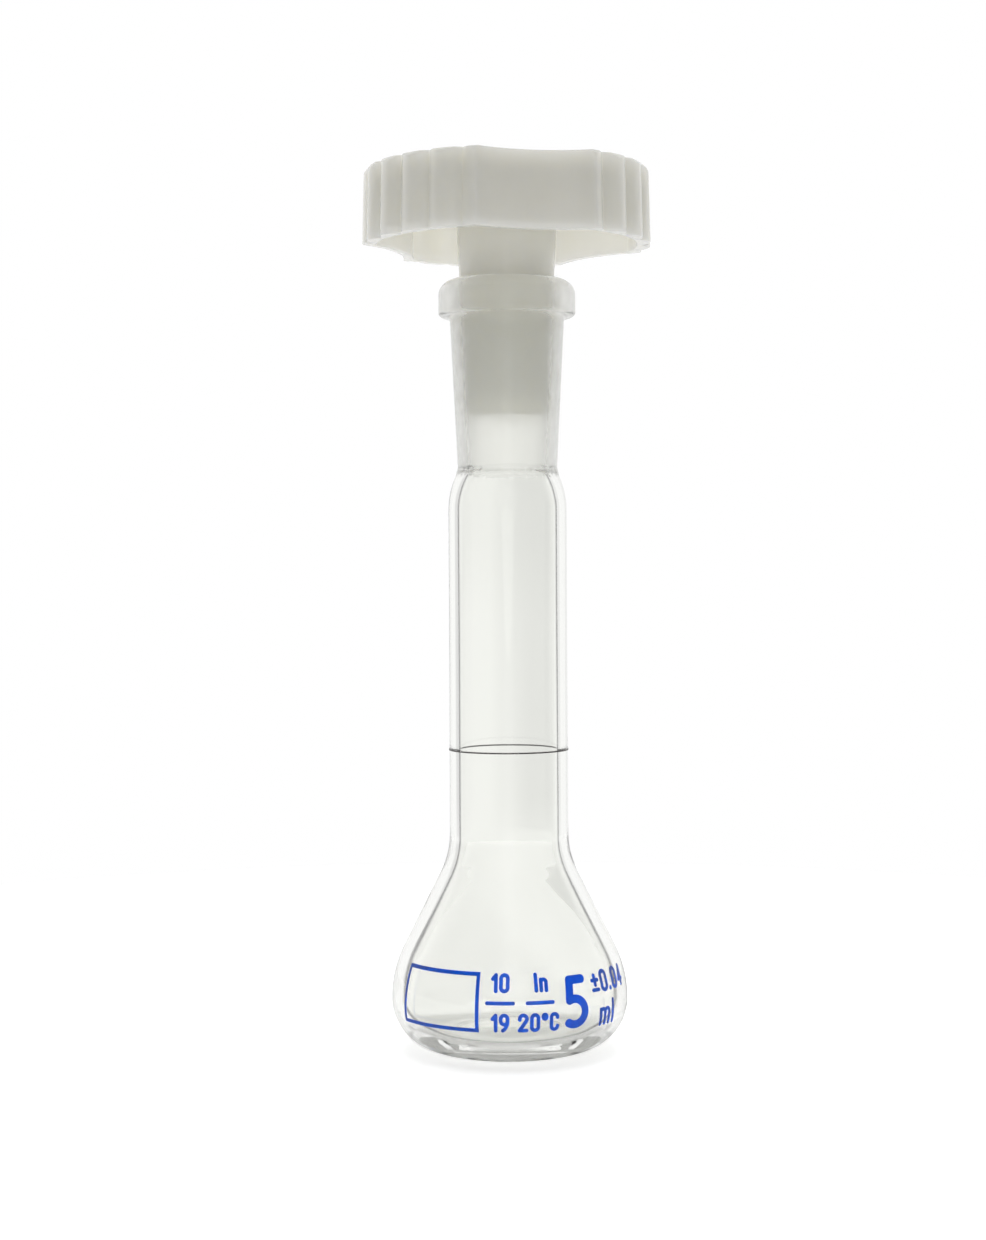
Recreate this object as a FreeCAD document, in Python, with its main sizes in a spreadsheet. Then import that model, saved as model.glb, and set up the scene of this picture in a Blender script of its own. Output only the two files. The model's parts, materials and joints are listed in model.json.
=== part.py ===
"""A 5 ml volumetric flask with a moulded plastic stopper, as a parametric FreeCAD document.

Frame: +Z up along the flask's axis, origin at the centre of the base, the printed side facing -Y.
Units are millimetres and degrees.
"""

import FreeCAD
import Part
import Sketcher
import math
import os

OUTPUT_FOLDER = "parts"

# Driving dimensions: alias, value, meaning.
SIZES = [
    ("bulb_diameter", 23.5, "outside of the bulb at its widest"),
    ("bulb_wall", 1.05, "glass thickness of the bulb's side"),
    ("foot_corner_radius", 5.0, "outside rounding between the base and the bulb's side"),
    ("bulb_arc_radius", 11.5, "outside arc above the widest point"),
    ("bulb_lean", 26.5, "angle of the bulb's cone from the axis"),
    ("base_thickness", 1.8, "glass thickness of the base"),
    ("base_kick", 0.5, "height of the pushed-up middle of the base"),
    ("foot_ring_width", 1.5, "flat ring that the flask stands on"),
    ("neck_diameter", 11.85, "outside of the neck tube"),
    ("neck_wall", 0.95, "glass thickness of the neck tube"),
    ("neck_fillet_radius", 8.0, "outside hollow between the bulb's cone and the neck"),
    ("neck_top_height", 53.5, "where the neck tube starts to close in"),
    ("closing_length", 4.0, "length over which the neck closes in to the flame-sealed seam"),
    ("mark_height", 29.7, "middle of the ring mark above the base"),
    ("mark_width", 0.14, "height of the ring mark's line"),
    ("enamel_thickness", 0.04, "fired enamel of the ring mark and the print"),
    ("socket_length", 19.0, "ground length of the 10/19 socket"),
    ("socket_wall", 1.15, "glass thickness of the socket"),
    ("bead_diameter", 13.68, "outside of the beaded rim"),
    ("bead_length", 3.6, "height of the beaded rim"),
    ("bead_top_radius", 1.5, "rounding on top of the bead"),
    ("bead_edge_radius", 0.4, "rounding under the bead"),
    ("bead_fillet_radius", 0.6, "hollow between the bead and the socket"),
    ("lip_radius", 0.35, "rounding of the socket's inner edge"),
    ("joint_diameter", 10.0, "large end of the stopper's cone"),
    ("joint_taper", 0.1, "diameter lost per length of the ground joint"),
    ("cone_length", 19.0, "length of the stopper's cone"),
    ("seat_clearance", 0.03, "radial gap between cone and socket"),
    ("stopper_stand", 5.4, "cone's large end above the rim"),
    ("stopper_turn", 12.0, "turn of the stopper about the axis"),
    ("plug_wall", 1.3, "plastic thickness of the hollow plug"),
    ("plug_floor", 1.6, "plastic thickness of the plug's end"),
    ("plug_edge_radius", 0.4, "rounding of the plug's end"),
    ("head_gap", 3.4, "skirt's lower edge above the rim"),
    ("head_diameter", 28.9, "head over its ridges at the lower edge"),
    ("head_height", 7.5, "skirt and top plate together"),
    ("head_draft", 1.4, "mould draft of the skirt's outside"),
    ("head_edge_radius", 0.6, "rounding of the ridges at the top"),
    ("head_plate", 1.5, "thickness of the head's top plate"),
    ("skirt_wall", 0.7, "skirt thickness behind the grooves"),
    ("ridge_depth", 0.75, "height of a grip ridge over its grooves"),
    ("ridge_count", 24.0, "grip ridges that would fill a full turn"),
    ("recess_radius", 13.5, "curve of each thumb recess"),
    ("recess_depth", 2.6, "depth of each thumb recess in the head"),
    ("recess_wall", 1.0, "skirt thickness behind a thumb recess"),
    ("print_middle", 6.5, "middle of the printed band above the base"),
    ("print_row_step", 1.85, "upper and lower printed rows from the middle"),
    ("numeral_length", 4.3, "height of the capacity numeral"),
    ("numeral_pen", 0.8, "line width of the capacity numeral"),
    ("unit_length", 2.1, "height of the unit's letters"),
    ("tolerance_length", 1.75, "height of the tolerance's characters"),
    ("letter_length", 1.45, "height of the small characters"),
    ("letter_pen", 0.36, "line width of the small characters"),
    ("panel_length", 5.6, "height of the writing panel's frame"),
    ("panel_width", 9.4, "width of the writing panel's frame round the bulb"),
]

# Heights and radii that several pieces share, in the sheet's own names.
SEAM = "(sizes.neck_top_height + sizes.closing_length)"
RIM = f"({SEAM} + sizes.socket_length)"
CONE_TOP = f"({RIM} + sizes.stopper_stand)"
CONE_END = f"({CONE_TOP} - sizes.cone_length)"
HEAD_BOTTOM = f"({RIM} + sizes.head_gap)"
HEAD_TOP = f"({HEAD_BOTTOM} + sizes.head_height)"
BULB_RADIUS = "(sizes.bulb_diameter / 2)"
NECK_RADIUS = "(sizes.neck_diameter / 2)"
NECK_BORE = f"({NECK_RADIUS} - sizes.neck_wall)"

# Thumb recesses round the stopper's head.
RECESS_COUNT = 3


def cone_radius(height):
    """Expression for the radius of the stopper's cone at a height."""
    return f"(sizes.joint_diameter / 2 - sizes.joint_taper / 2 * ({CONE_TOP} - {height}))"


def bore_radius(height):
    """Expression for the radius of the socket's ground bore at a height."""
    return f"({cone_radius(height)} + sizes.seat_clearance)"


def make_sheet(doc):
    """Writes the driving dimensions to a spreadsheet, one alias per row."""
    sheet = doc.addObject("Spreadsheet::Sheet", "sizes")
    for row, (alias, value, meaning) in enumerate(SIZES, start=1):
        sheet.set(f"A{row}", alias)
        sheet.set(f"B{row}", str(value))
        sheet.set(f"C{row}", meaning)
        sheet.setAlias(f"B{row}", alias)
    doc.recompute()
    return sheet


def number(sheet, expression):
    """The present value of an expression in the sheet's names."""
    return float(sheet.evalExpression(expression))


def new_body(doc, label):
    """An empty body that carries a sub-part's name."""
    body = doc.addObject("PartDesign::Body", label)
    body.Label = label
    return body


def new_sketch(body, name, plane):
    """A sketch on one of the body's own origin planes."""
    sketch = body.newObject("Sketcher::SketchObject", name)
    support = next(f for f in body.Origin.OriginFeatures if f.Role == plane)
    sketch.AttachmentSupport = [(support, "")]
    sketch.MapMode = "FlatFace"
    return sketch


def bind(sketch, kind, places, sheet, expression):
    """Adds one dimension to a sketch and ties it to an expression."""
    index = sketch.addConstraint(Sketcher.Constraint(kind, *places, number(sheet, expression)))
    sketch.setExpression(f"Constraints[{index}]", expression)


def arc_between(start, end, radius, turn):
    """The arc under a half circle from start to end, turning left (+1) or right (-1)."""
    chord = end - start
    reach = math.sqrt(radius * radius - chord.Length * chord.Length / 4)
    left = FreeCAD.Vector(-chord.y, chord.x, 0).normalize()
    centre = start + chord * 0.5 + left * reach * turn
    first, last = (start, end) if turn > 0 else (end, start)
    angles = [math.atan2(p.y - centre.y, p.x - centre.x) for p in (first, last)]
    circle = Part.Circle(centre, FreeCAD.Vector(0, 0, 1), radius)
    return Part.ArcOfCircle(circle, *angles)


def draw_outline(sketch, sheet, corners, arcs):
    """Draws a closed outline through corners, each an (x, y) pair of expressions.

    arcs maps an edge's number to (radius expression, turn): edge 0 leaves corner 0.
    Every corner and radius is a dimension tied to its expression.
    """
    points = [FreeCAD.Vector(number(sheet, x), number(sheet, y), 0) for x, y in corners]
    ends = []
    for edge, start in enumerate(points):
        end = points[(edge + 1) % len(points)]
        if edge in arcs:
            radius, turn = arcs[edge]
            place = sketch.addGeometry(arc_between(start, end, number(sheet, radius), turn), False)
            ends.append((place, 1, 2) if turn > 0 else (place, 2, 1))
        else:
            place = sketch.addGeometry(Part.LineSegment(start, end), False)
            ends.append((place, 1, 2))
    for edge, (place, _, last) in enumerate(ends):
        follower, follower_first, _ = ends[(edge + 1) % len(ends)]
        sketch.addConstraint(Sketcher.Constraint("Coincident", place, last, follower, follower_first))
    for (place, first, _), (x, y) in zip(ends, corners):
        if x == "0":
            sketch.addConstraint(Sketcher.Constraint("PointOnObject", place, first, -2))
        else:
            bind(sketch, "DistanceX", (-1, 1, place, first), sheet, x)
        if y == "0":
            sketch.addConstraint(Sketcher.Constraint("PointOnObject", place, first, -1))
        else:
            bind(sketch, "DistanceY", (-1, 1, place, first), sheet, y)
    for edge, (radius, _) in arcs.items():
        bind(sketch, "Radius", (ends[edge][0],), sheet, radius)


def turn_about_axis(body, sketch, kind):
    """Adds a full turn of a sketch about the flask's axis, as a Revolution or a Groove."""
    feature = body.newObject(f"PartDesign::{kind}", f"{sketch.Name}_{kind.lower()}")
    feature.Profile = sketch
    feature.ReferenceAxis = (sketch, ["V_Axis"])
    feature.Angle = 360.0
    return feature


def revolved_piece(doc, sheet, label, corners, arcs):
    """A body that is one outline turned about the axis."""
    body = new_body(doc, label)
    sketch = new_sketch(body, f"{label}_section", "XZ_Plane")
    draw_outline(sketch, sheet, corners, arcs)
    turn_about_axis(body, sketch, "Revolution")
    return body


def neck_side(wall, bore, fillet):
    """Corners and radii of one glass face from the bulb's widest point up to the neck.

    wall is how far the face lies inside the bulb's outside, bore the neck's radius on that
    face and fillet the hollow between cone and neck.
    """
    lean = "sizes.bulb_lean"
    arc = f"(sizes.bulb_arc_radius - {wall})"
    middle = f"({BULB_RADIUS} - sizes.bulb_arc_radius)"
    arc_end = (f"({middle} + {arc} * cos({lean}))", f"(sizes.foot_corner_radius + {arc} * sin({lean}))")
    fillet_x = f"({bore} + {fillet} * (1 - cos({lean})))"
    fillet_y = f"({arc_end[1]} + ({arc_end[0]} - {fillet_x}) / tan({lean}))"
    neck_start = (bore, f"({fillet_y} + {fillet} * sin({lean}))")
    return arc, arc_end, (fillet_x, fillet_y), neck_start


def closing_radius(bore, end):
    """Expression for the arc by which the neck closes from its radius to the seam's."""
    rise = "sizes.closing_length"
    fall = f"({bore} - {end})"
    return f"(({rise} * {rise} + {fall} * {fall}) / (2 * {fall}))"


def make_bulb_and_neck(doc, sheet):
    """The bulb and the neck tube, blown from one tube, up to the socket's seam."""
    seam_bore = bore_radius(SEAM)
    seam_outside = f"({seam_bore} + sizes.socket_wall)"
    foot = f"({BULB_RADIUS} - sizes.foot_corner_radius)"
    foot_inner = f"({foot} - sizes.foot_ring_width)"
    floor_radius = "(sizes.foot_corner_radius - sizes.base_thickness)"
    floor_edge = f"({BULB_RADIUS} - sizes.bulb_wall - {floor_radius})"
    kick = f"(({foot_inner} * {foot_inner} + sizes.base_kick * sizes.base_kick) / (2 * sizes.base_kick))"
    inner_fillet = "(sizes.neck_fillet_radius + sizes.neck_wall)"
    arc, arc_end, fillet_start, neck_start = neck_side("0", NECK_RADIUS, "sizes.neck_fillet_radius")
    inner_arc, inner_end, inner_start, inner_neck = neck_side("sizes.bulb_wall", NECK_BORE, inner_fillet)
    corners = [
        ("0", "sizes.base_kick"),
        (foot_inner, "0"),
        (foot, "0"),
        (BULB_RADIUS, "sizes.foot_corner_radius"),
        arc_end,
        fillet_start,
        neck_start,
        (NECK_RADIUS, "sizes.neck_top_height"),
        (seam_outside, SEAM),
        (seam_bore, SEAM),
        (NECK_BORE, "sizes.neck_top_height"),
        inner_neck,
        inner_start,
        inner_end,
        (f"({BULB_RADIUS} - sizes.bulb_wall)", "sizes.foot_corner_radius"),
        (floor_edge, "sizes.base_thickness"),
        (foot_inner, "sizes.base_thickness"),
        ("0", "(sizes.base_thickness + sizes.base_kick)"),
    ]
    arcs = {
        0: (kick, -1),
        2: ("sizes.foot_corner_radius", 1),
        3: (arc, 1),
        5: ("sizes.neck_fillet_radius", -1),
        7: (closing_radius(NECK_RADIUS, seam_outside), 1),
        9: (closing_radius(NECK_BORE, seam_bore), -1),
        11: (inner_fillet, 1),
        13: (inner_arc, -1),
        14: (floor_radius, -1),
        16: (kick, 1),
    }
    return revolved_piece(doc, sheet, "bulb_and_neck", corners, arcs)


def make_ground_socket(doc, sheet):
    """The ground socket with its beaded rim, flame-sealed to the neck."""
    bead_bottom = f"({RIM} - sizes.bead_length)"
    fillet_start = f"({bead_bottom} - sizes.bead_fillet_radius)"
    outside = f"({bore_radius(fillet_start)} + sizes.socket_wall)"
    bead = "(sizes.bead_diameter / 2)"
    lip_end = f"({RIM} - sizes.lip_radius)"
    corners = [
        (bore_radius(SEAM), SEAM),
        (f"({bore_radius(SEAM)} + sizes.socket_wall)", SEAM),
        (outside, fillet_start),
        (f"({outside} + sizes.bead_fillet_radius)", bead_bottom),
        (f"({bead} - sizes.bead_edge_radius)", bead_bottom),
        (bead, f"({bead_bottom} + sizes.bead_edge_radius)"),
        (bead, f"({RIM} - sizes.bead_top_radius)"),
        (f"({bead} - sizes.bead_top_radius)", RIM),
        (f"({bore_radius(lip_end)} + sizes.lip_radius)", RIM),
        (bore_radius(lip_end), lip_end),
    ]
    arcs = {
        2: ("sizes.bead_fillet_radius", -1),
        4: ("sizes.bead_edge_radius", 1),
        6: ("sizes.bead_top_radius", 1),
        8: ("sizes.lip_radius", 1),
    }
    return revolved_piece(doc, sheet, "ground_socket", corners, arcs)


def make_ring_mark(doc, sheet):
    """The fired ring mark round the neck, at which the flask holds its capacity."""
    low = "(sizes.mark_height - sizes.mark_width / 2)"
    high = "(sizes.mark_height + sizes.mark_width / 2)"
    outside = f"({NECK_RADIUS} + sizes.enamel_thickness)"
    corners = [(NECK_RADIUS, low), (outside, low), (outside, high), (NECK_RADIUS, high)]
    return revolved_piece(doc, sheet, "ring_mark", corners, {})


def pad_up(body, sketch, length, taper=None):
    """Pads a sketch upwards by an expression, drawn in by a draft angle if one is given."""
    pad = body.newObject("PartDesign::Pad", f"{sketch.Name}_pad")
    pad.Profile = sketch
    pad.setExpression("Length", length)
    if taper:
        pad.setExpression("TaperAngle", f"-{taper}")
    return pad


def cut_up(body, sketch, length):
    """Cuts a sketch upwards into the body by an expression."""
    pocket = body.newObject("PartDesign::Pocket", f"{sketch.Name}_pocket")
    pocket.Profile = sketch
    pocket.setExpression("Length", length)
    pocket.Reversed = True
    return pocket


def level_sketch(body, name, height):
    """A horizontal sketch at a height given by an expression."""
    sketch = new_sketch(body, name, "XY_Plane")
    sketch.setExpression("AttachmentOffset.Base.z", height)
    return sketch


def circle(sketch, sheet, radius):
    """A circle round the axis."""
    shape = Part.Circle(FreeCAD.Vector(0, 0, 0), FreeCAD.Vector(0, 0, 1), number(sheet, radius))
    place = sketch.addGeometry(shape, False)
    sketch.addConstraint(Sketcher.Constraint("Coincident", place, 3, -1, 1))
    bind(sketch, "Radius", (place,), sheet, radius)


def repeat_round(body, name, feature, count):
    """Repeats a feature evenly round the axis, as often as an expression says."""
    pattern = body.newObject("PartDesign::PolarPattern", name)
    pattern.Originals = [feature]
    pattern.Axis = (feature.Profile[0], ["N_Axis"])
    pattern.Angle = 360.0
    pattern.setExpression("Occurrences", count)
    body.Tip = pattern


def turned_spot(x, y, turn):
    """Expressions for a spot turned about the axis by an angle in degrees."""
    return (
        f"({x} * cos({turn}) - {y} * sin({turn}))",
        f"({x} * sin({turn}) + {y} * cos({turn}))",
    )


def make_stopper(doc, sheet):
    """The moulded stopper: ridged head with three thumb recesses, skirt, and hollow cone plug."""
    body = new_body(doc, "stopper")
    head = "(sizes.head_diameter / 2)"
    groove = f"({head} - sizes.ridge_depth)"
    pitch = "(360 / sizes.ridge_count)"
    half_pitch = f"({pitch} / 2)"

    plan = level_sketch(body, "head_plan", HEAD_BOTTOM)
    circle(plan, sheet, groove)
    pad_up(body, plan, "sizes.head_height", "sizes.head_draft")

    # One grip ridge: an arc over a chord of the groove circle, its root a little inside it.
    ridge = level_sketch(body, "ridge_plan", HEAD_BOTTOM)
    half_chord = f"({groove} * sin({half_pitch}))"
    rise = f"({head} - {groove} * cos({half_pitch}))"
    ridge_radius = f"(({half_chord} * {half_chord} + {rise} * {rise}) / (2 * {rise}))"
    inside = f"({groove} - sizes.skirt_wall / 2)"
    corners = [
        (groove, "0"),
        (f"({groove} * cos({pitch}))", f"({groove} * sin({pitch}))"),
        (f"({inside} * cos({pitch}))", f"({inside} * sin({pitch}))"),
        (inside, "0"),
    ]
    draw_outline(ridge, sheet, corners, {0: (ridge_radius, 1)})
    ridge_pad = pad_up(body, ridge, "sizes.head_height", "sizes.head_draft")
    doc.recompute()
    repeat_round(body, "ridges", ridge_pad, "sizes.ridge_count")
    doc.recompute()

    # The thumb recesses, evenly round the head, across the ridges.
    recess_reach = f"({head} + sizes.recess_radius - sizes.recess_depth)"
    recess = level_sketch(body, "recess_plan", HEAD_BOTTOM)
    centre = FreeCAD.Vector(0, -number(sheet, recess_reach), 0)
    shape = Part.Circle(centre, FreeCAD.Vector(0, 0, 1), number(sheet, "sizes.recess_radius"))
    place = recess.addGeometry(shape, False)
    recess.addConstraint(Sketcher.Constraint("PointOnObject", place, 3, -2))
    bind(recess, "DistanceY", (place, 3, -1, 1), sheet, recess_reach)
    bind(recess, "Radius", (place,), sheet, "sizes.recess_radius")
    recess_cut = cut_up(body, recess, "sizes.head_height")
    doc.recompute()
    repeat_round(body, "recesses", recess_cut, str(RECESS_COUNT))
    doc.recompute()

    # Rounded upper ends of the ridges.
    top_radius = f"({head} - sizes.head_height * tan(sizes.head_draft))"
    edge = "sizes.head_edge_radius"
    rounding = new_sketch(body, "ridge_rounding", "XZ_Plane")
    corners = [
        (f"({top_radius} - {edge})", HEAD_TOP),
        (top_radius, f"({HEAD_TOP} - {edge})"),
        (f"({top_radius} + {edge})", f"({HEAD_TOP} - {edge})"),
        (f"({top_radius} + {edge})", f"({HEAD_TOP} + {edge})"),
        (f"({top_radius} - {edge})", f"({HEAD_TOP} + {edge})"),
    ]
    draw_outline(rounding, sheet, corners, {0: (edge, -1)})
    turn_about_axis(body, rounding, "Groove")
    doc.recompute()

    # The hollow under the head, with the recesses' walls standing into it.
    skirt = f"({groove} - sizes.skirt_wall)"
    swell = "(sizes.recess_radius + sizes.recess_wall)"
    meet_y = f"(({recess_reach} ^ 2 + {skirt} ^ 2 - {swell} ^ 2) / (2 * {recess_reach}))"
    meet_x = f"sqrt({skirt} ^ 2 - {meet_y} ^ 2)"
    hollow = level_sketch(body, "hollow_plan", HEAD_BOTTOM)
    corners = []
    arcs = {}
    for recess_index in range(RECESS_COUNT):
        turn = 360 / RECESS_COUNT * recess_index
        arcs[len(corners)] = (swell, -1)
        corners.append(turned_spot(f"(-{meet_x})", f"(-{meet_y})", turn))
        arcs[len(corners)] = (skirt, 1)
        corners.append(turned_spot(meet_x, f"(-{meet_y})", turn))
    draw_outline(hollow, sheet, corners, arcs)
    cut_up(body, hollow, "(sizes.head_height - sizes.head_plate)")
    doc.recompute()

    # The stem and the cone that seats in the ground socket.
    stem = "(sizes.joint_diameter / 2)"
    plug_edge = f"({CONE_END} + sizes.plug_edge_radius)"
    plug = new_sketch(body, "plug_section", "XZ_Plane")
    corners = [
        ("0", CONE_END),
        (f"({cone_radius(plug_edge)} - sizes.plug_edge_radius)", CONE_END),
        (cone_radius(plug_edge), plug_edge),
        (stem, CONE_TOP),
        (stem, f"({HEAD_TOP} - sizes.head_plate / 2)"),
        ("0", f"({HEAD_TOP} - sizes.head_plate / 2)"),
    ]
    draw_outline(plug, sheet, corners, {1: ("sizes.plug_edge_radius", 1)})
    turn_about_axis(body, plug, "Revolution")
    doc.recompute()

    # The core that hollows the plug from above.
    core_end = f"({CONE_END} + sizes.plug_floor)"
    core = new_sketch(body, "core_section", "XZ_Plane")
    corners = [
        ("0", core_end),
        (f"({cone_radius(core_end)} - sizes.plug_wall)", core_end),
        (f"({stem} - sizes.plug_wall)", CONE_TOP),
        (f"({stem} - sizes.plug_wall)", f"({HEAD_TOP} + sizes.head_plate)"),
        ("0", f"({HEAD_TOP} + sizes.head_plate)"),
    ]
    draw_outline(core, sheet, corners, {})
    turn_about_axis(body, core, "Groove")
    body.setExpression("Placement.Rotation.Angle", "sizes.stopper_turn")
    doc.recompute()
    return body


# Characters as pen strokes in a box one unit high: points joined by lines, or (through, end) arcs.
STROKES = {
    "0": [[(0, 0.4), (0, 0.72), ((0.28, 1), (0.56, 0.72)), (0.56, 0.4)],
          [(0, 0.6), (0, 0.28), ((0.28, 0), (0.56, 0.28)), (0.56, 0.6)]],
    "1": [[(0, 0.76), (0.26, 1), (0.26, 0)]],
    "2": [[(0, 0.72), ((0.3, 1), (0.53, 0.62)), (0, 0), (0.58, 0)]],
    "4": [[(0.44, 0), (0.44, 0.9)], [(0.44, 1), (0, 0.3), (0.62, 0.3)]],
    "5": [[(0.5, 1), (0.09, 1), (0.04, 0.56), ((0.56, 0.32), (0, 0.07))]],
    "9": [[(0.56, 0.71), ((0.28, 1), (0, 0.71))],
          [(0, 0.71), ((0.28, 0.42), (0.56, 0.71))],
          [(0.56, 0.71), ((0.46, 0.27), (0.16, 0))]],
    "I": [[(0, 0), (0, 1)]],
    "n": [[(0, 0), (0, 0.68)], [(0, 0.46), ((0.22, 0.68), (0.44, 0.46)), (0.44, 0)]],
    "m": [[(0, 0), (0, 0.68)], [(0, 0.46), ((0.2, 0.68), (0.4, 0.46)), (0.4, 0)],
          [(0.4, 0.46), ((0.6, 0.68), (0.8, 0.46)), (0.8, 0)]],
    "l": [[(0, 0), (0, 1)]],
    "C": [[(0.54, 0.78), ((0.27, 1), (0, 0.73)), (0, 0.27), ((0.27, 0), (0.54, 0.22))]],
    "\u00b0": [[(0, 0.86), ((0.14, 1), (0.28, 0.86))], [(0, 0.86), ((0.14, 0.72), (0.28, 0.86))]],
    "\u00b1": [[(0, 0.6), (0.52, 0.6)], [(0.26, 0.34), (0.26, 0.86)], [(0, 0.08), (0.52, 0.08)]],
    ".": [[(0, 0), (0, 0.04)]],
    "-": [[(0, 0), (2.2, 0)]],
}
LETTER_GAP = 0.34
LETTER_WIDTH = 0.78
DASH = "-"

# Printed pieces: name and lettering, then the text, row and azimuth of each line.
PRINTS = [
    ("capacity_numeral", "numeral", [("5", -0.15, 32.8)]),
    ("unit_print", "unit", [("ml", -0.92, 53.0)]),
    ("tolerance_print", "tolerance", [("\u00b10.04", 0.72, 57.5)]),
    ("temperature_print", "letter", [("In", 1, 14.8), ("-", 0, 14.0), ("20\u00b0C", -1, 13.2)]),
    ("joint_size_print", "letter", [("10", 1, -5.0), ("-", 0, -5.0), ("19", -1, -5.0)]),
]
PANEL_AZIMUTH = -38.0

# The front's direction and the span of coat behind a line of print, in degrees.
FRONT = -90.0
PRINT_SECTOR = 60.0
# How far the coat reaches down the foot's rounding, in degrees under the widest part.
COAT_REACH = 60.0
# Depth of the blocks and side of the slab that cut the coat, in bulb radii.
BLOCK_DEPTH = 1.5
SLAB_SIDE = 4.0


def bar_area(start, end, pen):
    """The flat area that a round pen covers along a straight line."""
    along = (end - start).normalize() * (pen / 2)
    across = FreeCAD.Vector(-along.y, along.x, 0)
    sides = [
        Part.LineSegment(start - across, end - across),
        Part.Arc(end - across, end + along, end + across),
        Part.LineSegment(end + across, start + across),
        Part.Arc(start + across, start - along, start - across),
    ]
    return Part.Face(Part.Wire([side.toShape() for side in sides]))


def pen_point(spot):
    """A stroke's point, drawn in to the lettering's width."""
    return FreeCAD.Vector(spot[0] * LETTER_WIDTH, spot[1], 0)


def stroke_area(stroke, pen):
    """The flat area that a round pen covers along one stroke."""
    edges = []
    here = pen_point(stroke[0])
    for step in stroke[1:]:
        if isinstance(step[0], tuple):
            through, there = (pen_point(point) for point in step)
            edges.append(Part.Arc(here, through, there).toShape())
        else:
            there = pen_point(step)
            edges.append(Part.LineSegment(here, there).toShape())
        here = there
    if len(edges) == 1 and isinstance(edges[0].Curve, Part.Line):
        return bar_area(pen_point(stroke[0]), here, pen)
    return Part.Face(Part.Wire(edges).makeOffset2D(pen / 2, 0, False, False))


def stroke_width(character):
    """Width of a character's strokes in units of its height."""
    points = []
    for stroke in STROKES[character]:
        for step in stroke:
            points.extend(step if isinstance(step[0], tuple) else [step])
    return max(x for x, _ in points) * LETTER_WIDTH


def text_areas(text, height, pen):
    """Flat pen areas of each character of a line, centred on the origin, for sizes in mm."""
    total = sum(stroke_width(c) for c in text) + LETTER_GAP * (len(text) - 1)
    middle = 0.0 if text == DASH else 0.5
    left = -total / 2
    characters = []
    for character in text:
        areas = [stroke_area(stroke, pen / height) for stroke in STROKES[character]]
        for area in areas:
            area.translate(FreeCAD.Vector(left, -middle, 0))
            area.scale(height, FreeCAD.Vector(0, 0, 0))
        characters.append(areas)
        left += stroke_width(character) + LETTER_GAP
    return characters


def enamel_section(sheet):
    """Section of a thin coat on the bulb's outside, from the foot up over the widest part."""
    coat = number(sheet, "sizes.enamel_thickness")
    corner = number(sheet, "sizes.foot_corner_radius")
    arc = number(sheet, "sizes.bulb_arc_radius")
    bulb = number(sheet, BULB_RADIUS)
    lean = number(sheet, "sizes.bulb_lean")

    def face_edges(lift):
        """The edges of a face that lies a lift above the glass."""
        low = FreeCAD.Vector(bulb - corner, 0, corner)
        high = FreeCAD.Vector(bulb - arc, 0, corner)

        def rim(middle, radius, angle):
            """The face's spot at an angle above level."""
            turn = math.radians(angle)
            return middle + FreeCAD.Vector(math.cos(turn), 0, math.sin(turn)) * (radius + lift)

        lower = Part.Arc(*(rim(low, corner, angle) for angle in (-COAT_REACH, -COAT_REACH / 2, 0)))
        upper = Part.Arc(*(rim(high, arc, angle) for angle in (0, lean / 2, lean)))
        return [lower.toShape(), upper.toShape()]

    inner = Part.Wire(face_edges(0.0))
    outer = Part.Wire(face_edges(coat))
    ends = [Part.makeLine(inner.OrderedVertexes[i].Point, outer.OrderedVertexes[i].Point) for i in (0, -1)]
    return Part.Face(Part.Wire(Part.__sortEdges__(inner.Edges + outer.Edges + ends)))


def enamel_sector(sheet, azimuth, span):
    """The thin coat over a span of angles, its middle at an azimuth from the front."""
    centre = FreeCAD.Vector(0, 0, 0)
    axis = FreeCAD.Vector(0, 0, 1)
    sector = enamel_section(sheet).revolve(centre, axis, span)
    sector.rotate(centre, axis, FRONT + azimuth - span / 2)
    return sector


def add_solid(doc, label, shape):
    """A document object that holds a finished shape under a sub-part's name."""
    feature = doc.addObject("Part::Feature", label)
    feature.Label = label
    feature.Shape = shape
    return feature


def make_prints(doc, sheet):
    """The fired enamel characters on the bulb."""
    axis = FreeCAD.Vector(0, 0, 1)
    bulb = number(sheet, BULB_RADIUS)
    middle = number(sheet, "sizes.print_middle")
    step = number(sheet, "sizes.print_row_step")
    depth = FreeCAD.Vector(0, 0, BLOCK_DEPTH * bulb)
    pieces = []
    for label, kind, lines in PRINTS:
        height = number(sheet, f"sizes.{kind}_length")
        pen = number(sheet, "sizes.numeral_pen" if kind == "numeral" else "sizes.letter_pen")
        inks = []
        for text, row, azimuth in lines:
            upright = FreeCAD.Rotation(FreeCAD.Vector(1, 0, 0), 90)
            place = FreeCAD.Placement(FreeCAD.Vector(0, 0, middle + row * step), upright)
            swing = FreeCAD.Placement(FreeCAD.Vector(0, 0, 0), FreeCAD.Rotation(axis, azimuth))
            coat = enamel_sector(sheet, azimuth, PRINT_SECTOR)
            for areas in text_areas(text, height, pen):
                blocks = [area.extrude(depth) for area in areas]
                block = blocks[0].multiFuse(blocks[1:]).removeSplitter() if len(blocks) > 1 else blocks[0]
                block.Placement = swing.multiply(place).multiply(block.Placement)
                ink = coat.common(block).Solids
                if not ink:
                    raise RuntimeError(f"{label} lost a character")
                inks.extend(ink)
        pieces.append(add_solid(doc, label, Part.makeCompound(inks)))
    return pieces


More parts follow.
